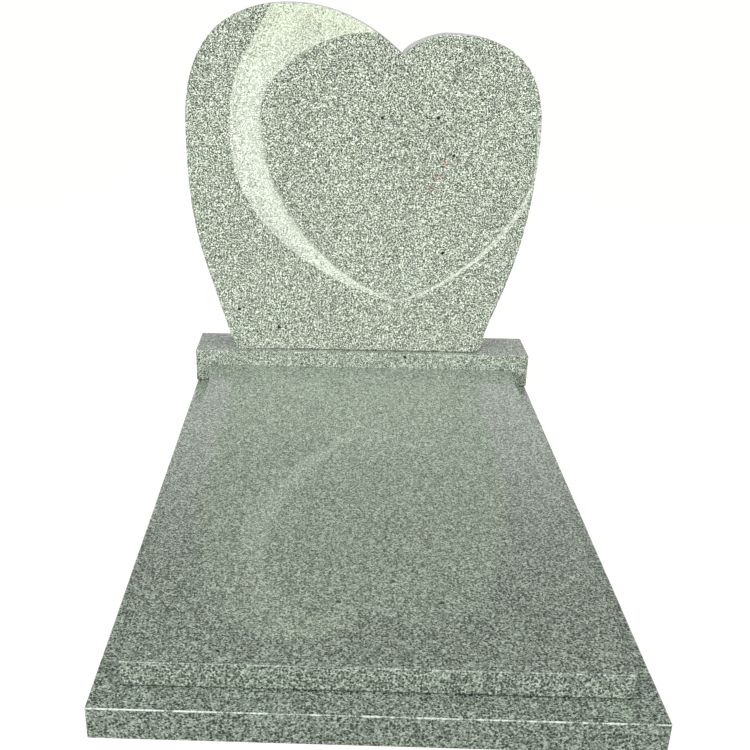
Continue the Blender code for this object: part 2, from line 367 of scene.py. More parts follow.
def polish(tree, shader, place, dull, dark, roughness, wax):
    """Gloss and pits: the roughness is the polish's own, plus the mica's, plus that of dull places."""
    smooth = add(tree, "ShaderNodeMath", {0: dark, 1: MICA_ROUGHNESS, 2: roughness}, operation=ADD_UP)
    rough = {0: dull, 1: DULL_ROUGHNESS, 2: smooth}
    roughened = add(tree, "ShaderNodeMath", rough, operation=ADD_UP, use_clamp=True)
    tree.links.new(roughened, shader.inputs["Roughness"])
    shader.inputs["IOR"].default_value = GRANITE_IOR
    waxed = add(tree, "ShaderNodeMath", {0: dull, 1: -wax, 2: wax}, operation=ADD_UP)
    tree.links.new(waxed, shader.inputs["Coat Weight"])
    shader.inputs["Coat Roughness"].default_value = roughness
    pits = add(tree, "ShaderNodeTexNoise", {"Vector": place, "Scale": 1.0 / PIT, "Detail": FINE_DETAIL})
    pitted = {0: dull, 1: PITS_IN_CHALK, 2: PITS_IN_POLISH}
    pitting = add(tree, "ShaderNodeMath", pitted, operation=ADD_UP)
    relief = {"Height": pits, "Strength": pitting, "Distance": PIT_DEPTH}
    tree.links.new(add(tree, "ShaderNodeBump", relief), shader.inputs["Normal"])


print("index of refraction", GRANITE_IOR)

# %% [markdown]
# The whole stone
#
# One function puts the steps together: crystals, mica and inclusions, then the blasting and the stains, the
# marks, the knocks, the painted highlight, the painted joint shade and the darkening, and last the polish.
# Five materials could be built node by node instead, but then a change to the stone would have to be made
# five times.

# %% Granite material


def granite(name, roughness, tint, wax, flake_depth, flake_size=MICA_SMALLEST, grain=GRAIN, marks=()):
    """Pale green-grey granite, worked to the given roughness where its attributes don't say otherwise.

    tint multiplies its colour, wax is the clear coat, flake_depth and flake_size are how dark and how large
    the mica is, grain is the size of a crystal, and marks are the places of pinkish marks.
    """
    material = bpy.data.materials.new(name)
    material.use_nodes = True
    tree = material.node_tree
    shader = tree.nodes["Principled BSDF"]
    place = add(tree, "ShaderNodeTexCoord", give="Object")
    # Besides the blasting, the attributes hold knocked white edges with a painted highlight, and painted
    # joint shade with a darkened front.
    blasted = add(tree, "ShaderNodeAttribute", give="Fac", attribute_name="blasted")
    bruised_and_highlit = add(tree, "ShaderNodeAttribute", give="Fac", attribute_name="bruised_and_highlit")
    grimed = add(tree, "ShaderNodeAttribute", give="Fac", attribute_name="grimed")

    minerals, bent, noise = crystals(tree, place, grain)
    flake = mica_flakes(tree, bent, blasted, grain, flake_size, flake_depth)
    inclusion, blotch = rare_marks(tree, bent)
    dark = add(tree, "ShaderNodeMath", {0: flake, 1: inclusion}, operation="MAXIMUM")
    stained = stained_colour(tree, place, blasted, minerals, blotch)
    speckled = add(tree, **MIX, inputs={MIX_FACTOR: dark, MIX_BELOW: stained, MIX_ABOVE: linear(MICA)})
    flushed = flushed_colour(tree, place, noise, speckled, marks)
    weathered = weathered_colour(tree, place, bruised_and_highlit, grimed, flushed, tint)
    tree.links.new(weathered, shader.inputs["Base Color"])

    hurt_and_highlit = add(tree, "ShaderNodeMath", {0: blasted, 1: bruised_and_highlit}, operation="MAXIMUM")
    dull = add(tree, "ShaderNodeMath", {0: hurt_and_highlit, 1: grimed}, operation="MAXIMUM")
    polish(tree, shader, place, dull, dark, roughness, wax)
    return material


print("one recipe for granite, with", len(MINERAL_SHARES), "minerals and mica")

# %% [markdown]
# Five finishes
#
# One kind of stone serves the whole memorial, but each block was worked and weathered in its own way. The
# finish is the roughness of the polish, the strength of its clear coat, the tone of the block and the
# boldness of its mica. The side bars' lighter tone is painted light. Starting every block from one recipe
# keeps them looking like one quarry's stone.

# %% Finishes
# The pinkish marks have places across and up the face.
PINK_PLACES = ((0.221, 0.736), (0.201, 0.694), (0.182, 0.665))
face_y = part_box("headstone")[0][1]
pink_marks = [(x, face_y, z) for x, z in PINK_PLACES]

# Polished granite, the headstone: a soft gloss that leaves the pale crystals bright, with bold flakes.
face_granite = granite(
    "polished_granite",
    roughness=0.10,
    tint="#ffffff",
    wax=0.5,
    flake_depth=0.93,
    flake_size=MICA_BOLD,
    grain=FINE_GRAIN,
    marks=pink_marks,
)

# Waxed granite, the plinth: a deeper gloss over the darkest and largest flakes.
plinth_granite = granite(
    "waxed_granite",
    roughness=0.08,
    tint="#e8eaea",
    wax=0.8,
    flake_depth=1.0,
    flake_size=MICA_BOLDEST,
    grain=FINE_GRAIN,
)

# Mirror polished granite, the ledger: a clear mirror over a darker, greyer stone.
mirror = {"roughness": 0.035, "tint": "#c8cdcc", "wax": 1.0, "flake_depth": 0.80}
ledger_granite = granite("mirror_polished_granite", **mirror)

# Machine polished granite, the front and rear kerb: a bright gloss on grey stone.
gloss = {"roughness": 0.07, "wax": 1.0, "flake_depth": 0.84}
kerb_granite = granite("machine_polished_granite", tint="#ccd2d1", **gloss)

# Lightened polished granite, the side kerbs: the same gloss on stone painted lighter, as a painted lift of
# light that makes up for the shade that the ledger and the low panels leave on them.
lightened_side_granite = granite("lightened_polished_granite", tint="#dbe1e0", **gloss)
finishes = face_granite, plinth_granite, ledger_granite, kerb_granite, lightened_side_granite
print("finishes:", ", ".join(material.name for material in finishes))

# %% [markdown]
# Meshes from grids
#
# A block could be a cube with modifiers, but then its edges, chips and carving would have to be cut into it
# one by one. Every block here is instead closed like a ball: a set of rings, one inside the next on the
# front, then one after another round the side, then one inside the next on the back. Such rings make a grid
# of quads that numpy computes whole, and any ring can be moved to give an edge or a step. Where rings meet,
# as they do in the middle of a face, their points fall together, so doubles are merged and flattened faces
# are dropped afterwards.

# %% Ring grid to mesh
MERGE_WITHIN = 0.00002
SHARP_ANGLE = math.radians(32.0)


def mesh_from_rings(name, rings, material, **attributes):
    """A closed mesh from an array of rings, stations and XYZ: each quad joins two stations of two rings."""
    ring_count, station_count, _ = rings.shape
    ring, station = np.meshgrid(np.arange(ring_count - 1), np.arange(station_count), indexing="ij")
    onward = (station + 1) % station_count
    corners = (ring, station), (ring, onward), (ring + 1, onward), (ring + 1, station)
    quads = np.stack([r * station_count + s for r, s in corners], axis=-1).reshape(-1, 4)
    mesh = bpy.data.meshes.new(name)
    mesh.from_pydata(rings.reshape(-1, 3), [], quads)
    for key, values in attributes.items():
        layer = mesh.attributes.new(key, "FLOAT", "POINT")
        layer.data.foreach_set("value", np.asarray(values, np.float32).ravel())
    tidy = bmesh.new()
    tidy.from_mesh(mesh)
    bmesh.ops.remove_doubles(tidy, verts=tidy.verts, dist=MERGE_WITHIN)
    bmesh.ops.dissolve_degenerate(tidy, edges=tidy.edges, dist=MERGE_WITHIN)
    bmesh.ops.recalc_face_normals(tidy, faces=tidy.faces)
    tidy.to_mesh(mesh)
    open_edges = sum(not edge.is_manifold for edge in tidy.edges)
    tidy.free()
    mesh.materials.append(material)
    mesh.shade_smooth()
    mesh.set_sharp_from_angle(angle=SHARP_ANGLE)
    piece = bpy.data.objects.new(name, mesh)
    bpy.context.scene.collection.objects.link(piece)
    print(f"{name}: {len(mesh.vertices)} points, {len(mesh.polygons)} faces, {open_edges} open edges")
    return piece


def dress(piece, node):
    """The fine piece stands for its block: the block is hidden, and the piece hangs from the root body."""
    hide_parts(node)
    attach(piece, "root")
    return piece


# %% [markdown]
# Curves for the heart
#
# A mason draws the heart full size and saws round the line. The line could be a list of many points, but it
# would look ragged and be hard to correct. Here it is a chain of cubic Bezier curves with a node only where
# the shape needs one: the two shoulders, the cleft, the sides and the foot. Positions are shares of the
# headstone's own width and height, so the outline fits whatever block the model holds.

# %% The headstone's lines
HEART_OUTLINE = (
    ((-0.371, 0.000), (-0.371, 0.000), (-0.471, 0.336)),
    ((-0.500, 0.672), (-0.500, 0.361), (-0.500, 0.890)),
    ((-0.211, 1.000), (-0.399, 1.000), (-0.038, 1.000)),
    ((0.107, 0.867), (0.067, 0.901), (0.121, 0.897)),
    ((0.227, 0.922), (0.197, 0.922), (0.428, 0.922)),
    ((0.500, 0.647), (0.500, 0.822), (0.500, 0.285)),
    ((0.383, 0.036), (0.392, 0.125), (0.381, 0.016)),
    ((0.351, 0.000), (0.370, 0.000), (0.200, 0.000)),
    ((-0.371, 0.000), (-0.200, 0.000), (-0.371, 0.000)),
)
PANEL_EDGE = (
    ((0.036, 0.924), (0.060, 0.924), (-0.110, 0.938)),
    ((-0.286, 0.706), (-0.286, 0.827), (-0.286, 0.403)),
    ((0.115, 0.164), (-0.035, 0.206), (0.130, 0.160)),
)
CRESCENT_RIM = (
    ((-0.253, 1.001), (-0.230, 1.045), (-0.344, 0.824)),
    ((-0.373, 0.645), (-0.373, 0.841), (-0.373, 0.344)),
    ((0.116, 0.158), (-0.025, 0.192), (0.130, 0.150)),
)
BAND_LINE = (
    ((0.1155, 0.161), (0.050, 0.145), (0.335, 0.221)),
    ((0.496, 0.568), (0.504, 0.450), (0.492, 0.620)),
)
OUTLINE_STEPS = 60
CARVING_STEPS = 120
stone_low, stone_high = (np.array(corner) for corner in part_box("headstone"))
stone_size = stone_high - stone_low
stone_foot = np.array([(stone_low[0] + stone_high[0]) / 2.0, stone_low[2]])


def bezier(nodes, steps):
    """Points on cubic spans, from shares of the stone to metres.

    Each span is (1-t)^3 start + 3(1-t)^2 t leave + 3(1-t) t^2 arrive + t^3 end, with t running from 0 to 1.
    """
    t = np.linspace(0.0, 1.0, steps, endpoint=False)[:, None]
    spans = []
    for (start, _, leave), (end, arrive, _) in zip(nodes[:-1], nodes[1:]):
        start, leave, arrive, end = (np.array(p) for p in (start, leave, arrive, end))
        weights = (1 - t) ** 3, 3 * (1 - t) ** 2 * t, 3 * (1 - t) * t**2, t**3
        points = start, leave, arrive, end
        spans.append(sum(weight * point for weight, point in zip(weights, points)))
    spans.append(np.array(nodes[-1][0])[None, :])
    return np.vstack(spans) * (stone_size[0], stone_size[2]) + stone_foot


outline = bezier(HEART_OUTLINE, OUTLINE_STEPS)[:-1]
print("headstone", (stone_size / MM).round(), "mm, outline of", len(outline), "points")

# %% [markdown]
# Carving the crescent
#
# The crescent and the thin band are one cut, blasted with sand through a mask. Its floor starts level with
# the face along the outer rim, sinks slowly, and ends at a low step under the edge of the raised heart
# panel. A Boolean modifier could cut it out, but it leaves long thin faces along such curves. So its two
# lines are drawn first: the crescent lies between two curves, and the band to both sides of one.

# %% Carved lines
BAND_WIDTH_AT_TIP = 5.0 * MM
BAND_WIDTH = 14.0 * MM
CRESCENT_DEPTH = 8.0 * MM
TIP_DEPTH = 3.0 * MM
BAND_DEPTH = 4.0 * MM
STEP_RUN = 1.6 * MM
BAND_WIDE_SHARE = 0.6
BAND_STRENGTH_AT = (0.0, 0.6, 1.0)
BAND_STRENGTH = (1.0, 1.0, 0.65)


def carved_lines():
    """The cut from the top edge round the tip to the right edge: inner and outer line, depth and strength.

    The band is its middle line moved half its width to each side. The crescent's depth grows with its width,
    and the band gets a little deeper along its way.
    """
    panel, rim = bezier(PANEL_EDGE, CARVING_STEPS), bezier(CRESCENT_RIM, CARVING_STEPS)
    line = bezier(BAND_LINE, CARVING_STEPS)[1:]
    heading = np.gradient(line, axis=0)
    heading /= np.linalg.norm(heading, axis=1)[:, None]
    side = np.stack([-heading[:, 1], heading[:, 0]], axis=1)
    along = np.linspace(0.0, 1.0, len(line))
    opened = np.minimum(1.0, along / BAND_WIDE_SHARE)
    half = (BAND_WIDTH_AT_TIP + (BAND_WIDTH - BAND_WIDTH_AT_TIP) * opened) / 2.0
    width = np.linalg.norm(panel - rim, axis=1)
    left_depth = TIP_DEPTH + (CRESCENT_DEPTH - TIP_DEPTH) * width / width.max()
    right_depth = TIP_DEPTH + (BAND_DEPTH - TIP_DEPTH) * along
    inner = np.vstack([panel, line + side * half[:, None]])
    outer = np.vstack([rim, line - side * half[:, None]])
    depth = np.concatenate([left_depth, right_depth])
    band_strength = np.interp(along, BAND_STRENGTH_AT, BAND_STRENGTH)
    strength = np.concatenate([np.ones(len(panel)), band_strength])
    return inner, outer, depth, strength


print("band", BAND_WIDTH_AT_TIP / MM, "to", BAND_WIDTH / MM, "mm wide")

# %% [markdown]
# Lines seen from the panel's middle
#
# Seen from a point inside the panel, each line is crossed once in every direction. So the whole face can be
# described by one distance for each direction: how far to the panel's edge, to the rim, and to the stone's
# own outline. Blender could shoot a ray at a drawn curve for each of them, but two arrays of directions and
# distances answer for all at once.

# %% Distance by direction
HEART_MIDDLE = np.array([0.055, 0.50])
FAR_AWAY = 3.0
middle = HEART_MIDDLE * (1.0, stone_size[2]) + (0.0, stone_low[2])


def run_on(points, reach):
    """The line with one point more at each end, straight on by reach."""
    first, last = points[0] - points[1], points[-1] - points[-2]
    before = points[0] + first / np.linalg.norm(first) * reach
    after = points[-1] + last / np.linalg.norm(last) * reach
    return np.vstack([before, points, after])


def bearing(points):
    """Direction of each point from the panel's middle, anticlockwise from +X, without jumps."""
    return np.unwrap(np.arctan2(points[:, 1] - middle[1], points[:, 0] - middle[0]))


def distance_by_bearing(points, directions, missing=None):
    """How far a line lies from the panel's middle in each direction, or missing where it doesn't reach."""
    around = bearing(points)
    reach = np.linalg.norm(points - middle, axis=1)
    if around[-1] < around[0]:
        around, reach = around[::-1], reach[::-1]
    turn_start = around[0]
    wrapped = turn_start + np.mod(directions - turn_start, 2.0 * math.pi)
    found = np.interp(wrapped, around, reach)
    return found if missing is None else np.where(wrapped > around[-1], missing, found)


print("panel middle at", middle.round(3))

# %% [markdown]
# The headstone
#
# The block is a sawn slab with the cut in its face. It could be a flat outline with thickness and a cut
# taken out of it, but then the carving's edges would be ragged. Here the rings follow the carving: one lies
# on the panel's edge, one on the rim and one on the outline, and others divide the way between them. All
# have a point in the same directions, which are even steps and the corners of the outline.

# %% Directions from the panel's middle
FULL_TURN = 2.0 * math.pi
EVEN_DIRECTIONS = 540

inner, outer, depth, strength = carved_lines()
edge_bearings = bearing(outline)
even = np.linspace(0.0, FULL_TURN, EVEN_DIRECTIONS, endpoint=False) + edge_bearings.min()
all_bearings = np.concatenate([np.mod(edge_bearings, FULL_TURN), np.mod(even, FULL_TURN)])
directions = np.unique(all_bearings.round(5))
ray = np.stack([np.cos(directions), np.sin(directions)], axis=1)
print(len(directions), "directions")

# %% [markdown]
# How far each line lies
#
# The outline closes on itself, but the panel's edge and the rim run out at the top and at the right side of
# the stone. Both are run on past it, so that every direction still finds them, or finds nothing and takes a
# distance far outside. The foot of the stone is eased a little more than the rest, which is where it was
# set down.

# %% Distances in each direction
EASED = 2.0 * MM
FOOT_EASED = 3.2 * MM
FOOT_FROM = 0.8
FOOT_SLOPE = 8.0
RUN_PAST = 0.12
RIM_GAP = 0.1 * MM

to_edge = distance_by_bearing(np.vstack([outline, outline[:1]]), directions)
to_panel = distance_by_bearing(run_on(inner, RUN_PAST), directions, FAR_AWAY)
to_rim = distance_by_bearing(run_on(outer, RUN_PAST), directions, FAR_AWAY)
to_rim = np.maximum(to_rim, to_panel + RIM_GAP)
at_foot = np.clip((-ray[:, 1] - FOOT_FROM) * FOOT_SLOPE, 0.0, 1.0)
eased = EASED + (FOOT_EASED - EASED) * at_foot
face_edge = to_edge - eased

inner_bearing = bearing(inner)
round_from_top = inner_bearing[0] + np.mod(directions - inner_bearing[0], FULL_TURN)
depth_here = np.interp(round_from_top, inner_bearing, depth)
strength_here = np.interp(round_from_top, inner_bearing, strength)
print("outline", round(to_edge.min(), 3), "to", round(to_edge.max(), 3), "m from the panel's middle")

# %% [markdown]
# The floor of the cut
#
# With those distances, the depth of the face and the trace of the sand are two short formulas. The panel's
# edge is a low step, and from it the floor rises evenly to the rim. The blasting starts sharply at the
# step, where the mask lay on the stone, and fades out just past the rim, where the floor runs out into the
# face.

# %% Depth and blasting
RIM_SOFTNESS = 2.5 * MM
BLAST_FROM = 0.2


def sunk(distance):
    """Depth of the face at a distance: down the step, then rising evenly to nothing at the rim."""
    step = np.clip((distance - to_panel) / STEP_RUN, 0.0, 1.0)
    across = np.clip((distance - to_panel) / (to_rim - to_panel), 0.0, 1.0)
    return depth_here * np.minimum(step, 1.0 - across)


def blasting(distance):
    """1 on the blasted floor, 0 on the polish: sharp at the step, and fading just outside the rim."""
    fading = np.clip((to_rim + RIM_SOFTNESS - distance) / RIM_SOFTNESS, 0.0, 1.0)
    return np.where(distance > to_panel + BLAST_FROM * STEP_RUN, fading * strength_here, 0.0)


print("deepest just inside the step:", round(sunk(to_panel + STEP_RUN).max() / MM, 1), "mm")

# %% [markdown]
# Rings over the face
#
# Inside the panel a few rings are enough, because it is flat. Most of them lie on the floor of the cut,
# closest at its two ends. In the directions where there is no cut, the rings of the floor fall together at
# the edge of the face, and merging the doubles takes them away again.

# %% Face rings
SUPPORT = 0.8 * MM
HEART_RINGS = (0.0, 0.3, 0.6, 0.85, 0.97)
FLOOR_RINGS = (0.0, 0.06, 0.14, 0.25, 0.38, 0.52, 0.66, 0.78, 0.88, 0.95, 1.0)
OUTER_RINGS = (0.35, 0.7)

face = [np.minimum(to_panel * share, face_edge * share) for share in HEART_RINGS]
face.append(np.minimum(to_panel, face_edge))
floor_from = to_panel + STEP_RUN
for share in FLOOR_RINGS:
    reach = np.maximum(floor_from + (to_rim - floor_from) * share, floor_from)
    face.append(np.minimum(reach, face_edge))
face.append(np.minimum(face[-1] + RIM_SOFTNESS, face_edge))
for share in OUTER_RINGS:
    face.append(face[-1] * (1.0 - share) + face_edge * share)
face.append(np.maximum(face[-1], face_edge - SUPPORT))
face.append(face_edge)
print(len(face), "rings over the face")

# %% [markdown]
# Round the side and over the back
#
# The side is a quarter round, a straight run through the thickness, and another quarter round. A Bevel
# modifier could ease it, but the carving runs out over the edge at the top and at the right, and the edge
# has to dip with it. The back was never polished, and its rings are a little blasted all over.

# %% Headstone rings
SAWN = 0.35
JOINT_SHADE_STRENGTH = 0.75
SHADE_FROM_TURN = math.radians(30.0)
LIP_SHOWS = 0.2 * MM
SIDE_RINGS = (0.008, 0.33, 0.66, 0.992)
BACK_RINGS = (1.0, 0.9, 0.6, 0.3, 0.0)
QUARTER_TURN = np.radians((0.0, 22.5, 45.0, 67.5, 90.0))


def headstone_rings():
    """Rings of the headstone from the panel's middle, over the face, round the side and back to the middle.

    A ring is the panel's middle plus its reach in each direction, at some depth behind the face. A quarter
    round follows the sine and cosine of its turn.
    """
    rings, blasted, grimed = [], [], []

    def ring(reach, back, rough, grime=0.0):
        """One ring: its distance from the panel's middle, how far back it lies, and its two marks."""
        rings.append((reach, np.broadcast_to(back, reach.shape)))
        blasted.append(np.broadcast_to(rough, reach.shape))
        grimed.append(np.broadcast_to(grime, reach.shape))

    for reach in face:
        ring(reach, sunk(reach), blasting(reach))
    lip = sunk(face_edge)
    edge_blast = blasting(face_edge) * (lip > LIP_SHOWS)
    for turned in QUARTER_TURN[1:]:
        # The lower part of the rounded foot edge is painted dark, as shade in the joint under the stone.
        grime = JOINT_SHADE_STRENGTH * at_foot * (turned > SHADE_FROM_TURN)
        reach = to_edge - eased * (1 - np.sin(turned))
        ring(reach, lip + eased * (1 - np.cos(turned)), edge_blast * np.cos(turned), grime)
    thick = stone_size[1]
    run = thick - lip - 2.0 * eased
    for share in SIDE_RINGS:
        ring(to_edge, lip + eased + run * share, 0.0)
    for turned in QUARTER_TURN:
        ring(to_edge - eased * (1 - np.cos(turned)), thick - eased * (1 - np.sin(turned)), 0.0)
    back_edge = to_edge - eased - SUPPORT
    for share in BACK_RINGS:
        ring(back_edge * share, thick, SAWN)
    reaches, backs = (np.stack(values) for values in zip(*rings))
    across, upward = middle[0] + reaches * ray[:, 0], middle[1] + reaches * ray[:, 1]
    points = np.stack([across, stone_low[1] + backs, upward], axis=-1)
    return points, np.stack(blasted), np.stack(grimed)


stone_rings, blasted, grimed = headstone_rings()
headstone = mesh_from_rings("heart_headstone", stone_rings, face_granite, blasted=blasted, grimed=grimed)
dress(headstone, "headstone")

# %% [markdown]
# Squared blocks
#
# The other blocks are sawn square and their edges are eased with a rubbing stone. A Bevel modifier would
# ease them all alike, but a hand-rubbed edge is never quite even, and the front bar's top edge is knocked
# white along its length. So the size of the easing is a smooth random function of the way round the block,
# larger where the edge is knocked. A sum of sine waves with seeded phases gives such a function, and gives
# the same one in every run.

# %% Uneven edges
EDGE_WAVES = (18.0, 42.0, 94.0, 220.0, 460.0)
CHIP_WAVES = (61.0, 137.0, 290.0, 560.0, 910.0, 1400.0, 2000.0)
WAVES_PEAK = 2.0


def ripple(along, seed, waves=EDGE_WAVES):
    """Smooth random values from -1 to 1: sine waves with random phases, the short ones weaker, added up."""
    phases = np.random.default_rng(seed).uniform(0.0, 2.0 * math.pi, len(waves))
    total = 0
    for k, (wave, phase) in enumerate(zip(waves, phases)):
        total = total + np.sin(along * wave + phase) / math.sqrt(1 + k)
    return np.clip(total / WAVES_PEAK, -1.0, 1.0)


print("longest wave of an edge:", round(2.0 * math.pi / EDGE_WAVES[0] / MM), "mm")

# %% [markdown]
# The plan of a block
#
# Seen from above, a block is a rectangle whose corners are cut a little, as a mason leaves them so that
# they don't splinter. Each point of this loop also knows which way it moves when the loop grows. At a cut
# corner it moves along the cut's own bisector, and that is what keeps an eased edge equally wide right
# round the block.

# %% Block plan
CORNER_EASED = 2.2 * MM
MITRE = math.tan(math.radians(22.5))
BLOCK_SPACING = 20.0 * MM
FEWEST_POINTS = 4


def plan_loop(low, high, front_spacing):
    """Points round a rectangle with cut corners, and how each moves when the loop grows by one.

    They run anticlockwise. Each side is its corner plus its direction times an even run, without the cut at
    either end. The third result is the number of the side that a point is on, with 0 for the front.
    """
    left, near, right, far = low[0], low[1], high[0], high[1]
    sides = ((left, near, 1, 0), (right, near, 0, 1), (right, far, -1, 0), (left, far, 0, -1))
    lengths = (high[0] - low[0], high[1] - low[1]) * 2
    points, outward, side_number = [], [], []
    for number, ((x, y, dx, dy), length) in enumerate(zip(sides, lengths)):
        spacing = front_spacing if number == 0 else BLOCK_SPACING
        count = max(FEWEST_POINTS, int(length / spacing))
        travel = np.linspace(CORNER_EASED, length - CORNER_EASED, count)
        points.append(np.stack([x + dx * travel, y + dy * travel], axis=1))
        away = np.tile((dy, -dx), (count, 1)).astype(float)
        away[0] -= MITRE * np.array([dx, dy])
        away[-1] += MITRE * np.array([dx, dy])
        outward.append(away)
        side_number.append(np.full(count, number))
    return np.vstack(points), np.vstack(outward), np.concatenate(side_number)


print("corners cut back", round(CORNER_EASED / MM, 1), "mm on each side")

# %% [markdown]
# From plan to block
#
# A block is a pile of such loops: spread over the top, round the eased edge, down the side, and in again
# under the foot. The loops carry the marks too. The top edge is a little bruised everywhere. Along the
# front bar it is chipped, most of all towards the left. Low down at the left end of every block's front, a
# pale strip is a painted highlight. The chips are under a millimetre deep, so the front loops have a point
# every millimetre or so, and the other sides make do with far fewer. The rounded foot of the plinth and
# the ledger is painted dark, as shade in the joint that the block stands on, and the front bar's front face
# is darkened and dulled. All this could be sculpted by hand, but numbers for each block are quicker to
# correct.

# %% Block surface
CHIP_PLACES = (0.0, 0.20, 0.36, 0.56, 1.0)
CHIP_OFTEN = (1.20, 0.95, 0.15, 0.60, 0.45)
CHIP_WHITE = 1.0
CHIP_SPACING = 1.4 * MM
CHIP_UNEVEN = 0.9
EASING_UNEVEN = 0.25
BRUISE_UNEVEN = 2.5
FOOT_HIGHLIGHT_END = 0.05
FOOT_HIGHLIGHT_STRENGTH = 3.0
EDGE_SUPPORT = 1.0 * MM
FOOT_STRIP = (2.5 * MM, 1.2 * MM)
TOP_RINGS = (0.0, 0.5, 0.9)
FOOT_TURN = np.radians((30.0, 60.0, 90.0))
BOTTOM_RINGS = (0.5, 0.0)


def block(
    name, node, slot, material, eased, foot_eased, seed, wear_and_highlight=0.10, chips=0.0, grime=0.0, back=0.0, front_darkening=0.0
):
    """A squared block of rings: from the middle of its top, over the edge, down and in under its foot.

    A ring is the plan moved in by an inset, along each point's own way, at one height. eased and foot_eased
    are the sizes of its edges, wear_and_highlight is how white its top edge is and also sets the painted
    highlight low at the left end of its front, and chips is how deep the front edge is knocked. grime is
    the painted shade in the joint under it, back is how rough its rear side is left, and front_darkening is
    how far its front side is darkened and dulled.
    """
    low, high = (np.array(corner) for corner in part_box(node))
    plan, outward, side_number = plan_loop(low, high, CHIP_SPACING if chips else BLOCK_SPACING)
    along = np.cumsum(np.linalg.norm(np.diff(plan, axis=0, prepend=plan[-1:]), axis=1))
    across = (plan[:, 0] - low[0]) / (high[0] - low[0])
    in_front = side_number == 0
    top_round = eased * (1.0 + EASING_UNEVEN * ripple(along, seed))
    bruise = np.clip(wear_and_highlight * (1.0 + BRUISE_UNEVEN * ripple(along, seed + 1)), 0.0, 1.0)
    often = np.interp(across, CHIP_PLACES, CHIP_OFTEN)
    knocks = np.clip(often + CHIP_UNEVEN * ripple(along, seed + 2, CHIP_WAVES), 0.0, 1.0)
    chipped = knocks * in_front * (chips > 0.0)
    top_round = top_round + chips * chipped
    bruise = np.maximum(bruise, chipped * min(1.0, CHIP_WHITE * chips / MM))
    # A pale strip low at the left end of the front is a painted highlight.
    foot_highlight = np.where(in_front & (across < FOOT_HIGHLIGHT_END), FOOT_HIGHLIGHT_STRENGTH * wear_and_highlight, 0.0)
    foot_round = np.full_like(top_round, foot_eased)
    rear = back * (side_number == 2)
    darkened_front = front_darkening * in_front
    centre = (low[:2] + high[:2]) / 2.0
    rings, blasted, bruised_and_highlit, grimed = [], [], [], []

    def ring(inset, height, share=1.0, rough=0.0, bruise_and_highlight=0.0, painted_darkening=0.0):
        """One ring: the plan moved in by inset and drawn towards the middle to a share, at a height."""
        flat = centre + (plan - outward * np.reshape(inset, (-1, 1)) - centre) * share
        rings.append(np.column_stack([flat, np.broadcast_to(height, len(plan))]))
        for marks, mark in ((blasted, rough), (bruised_and_highlit, bruise_and_highlight), (grimed, painted_darkening)):
            marks.append(np.broadcast_to(mark, len(plan)))

    top, bottom = high[2], low[2]
    for share in TOP_RINGS:
        ring(top_round, top, share)
    ring(top_round + EDGE_SUPPORT, top)
    for turned in QUARTER_TURN:
        ring(top_round * (1 - np.sin(turned)), top - top_round * (1 - np.cos(turned)), bruise_and_highlight=bruise)
    # On the front side these rings are darkened and dulled.
    ring(0.0, top - top_round - EDGE_SUPPORT, rough=rear, painted_darkening=darkened_front)
    ring(0.0, (bottom + top) / 2.0, rough=rear, painted_darkening=darkened_front)
    ring(0.0, bottom + foot_round + FOOT_STRIP[0], rough=rear, painted_darkening=darkened_front)
    # This ring carries the painted highlight.
    ring(0.0, bottom + foot_round + FOOT_STRIP[1], rough=rear, bruise_and_highlight=foot_highlight, painted_darkening=darkened_front)
    # The rounded foot is painted dark, as shade in the joint that the block stands on.
    ring(0.0, bottom + foot_round, rough=rear, painted_darkening=grime)
    for turned in FOOT_TURN:
        ring(foot_round * (1 - np.cos(turned)), bottom + foot_round * (1 - np.sin(turned)), painted_darkening=grime)
    for share in BOTTOM_RINGS:
        ring(foot_round, bottom, share, rough=SAWN)
    marks = {"blasted": np.stack(blasted), "bruised_and_highlit": np.stack(bruised_and_highlit), "grimed": np.stack(grimed)}
    return dress(mesh_from_rings(name, np.stack(rings), material, **marks), node)


print("a point every", round(CHIP_SPACING / MM, 1), "mm where an edge is chipped")

# %% [markdown]
# The plinth, the ledger and the kerb
#
# The plinth is the least handled block, and its edges are the widest and cleanest. The ledger's top edge is
# kept sharp, so that the mirror runs right out to it, with fine chips along its front. The front kerb has
# taken the most knocks. The side bars look alike and differ only in where their small knocks fall, which is
# what the seeds are for. The rear bar stands out of sight under the plinth, so its back is left sawn.

# %% The six blocks
PLINTH_EASED = 2.0 * MM
LEDGER_EASED = 0.9 * MM
LEDGER_FOOT_EASED = 2.6 * MM
FRONT_EASED = 0.9 * MM
BAR_EASED = 1.6 * MM
BAR_FOOT_EASED = 2.0 * MM
LEDGER_CHIPS = 0.25 * MM
FRONT_CHIPS = 0.8 * MM

# The plinth and the ledger carry painted shade in the joints under them.
plinth_look = {"eased": PLINTH_EASED, "foot_eased": PLINTH_EASED, "wear_and_highlight": 0.03, "grime": 0.6, "back": SAWN}
ledger_look = {"eased": LEDGER_EASED, "foot_eased": LEDGER_FOOT_EASED, "chips": LEDGER_CHIPS, "grime": 0.9}
front_look = {"eased": FRONT_EASED, "foot_eased": BAR_FOOT_EASED, "wear_and_highlight": 0.12, "chips": FRONT_CHIPS}
side_look = {"eased": BAR_EASED, "foot_eased": BAR_FOOT_EASED, "wear_and_highlight": 0.15}
rear_look = {"eased": BAR_EASED, "foot_eased": BAR_FOOT_EASED, "back": SAWN}
block("plinth_block", "plinth", "plinth_granite", plinth_granite, seed=11, **plinth_look)
block("ledger_slab", "ledger", "ledger_granite", ledger_granite, seed=21, **ledger_look)
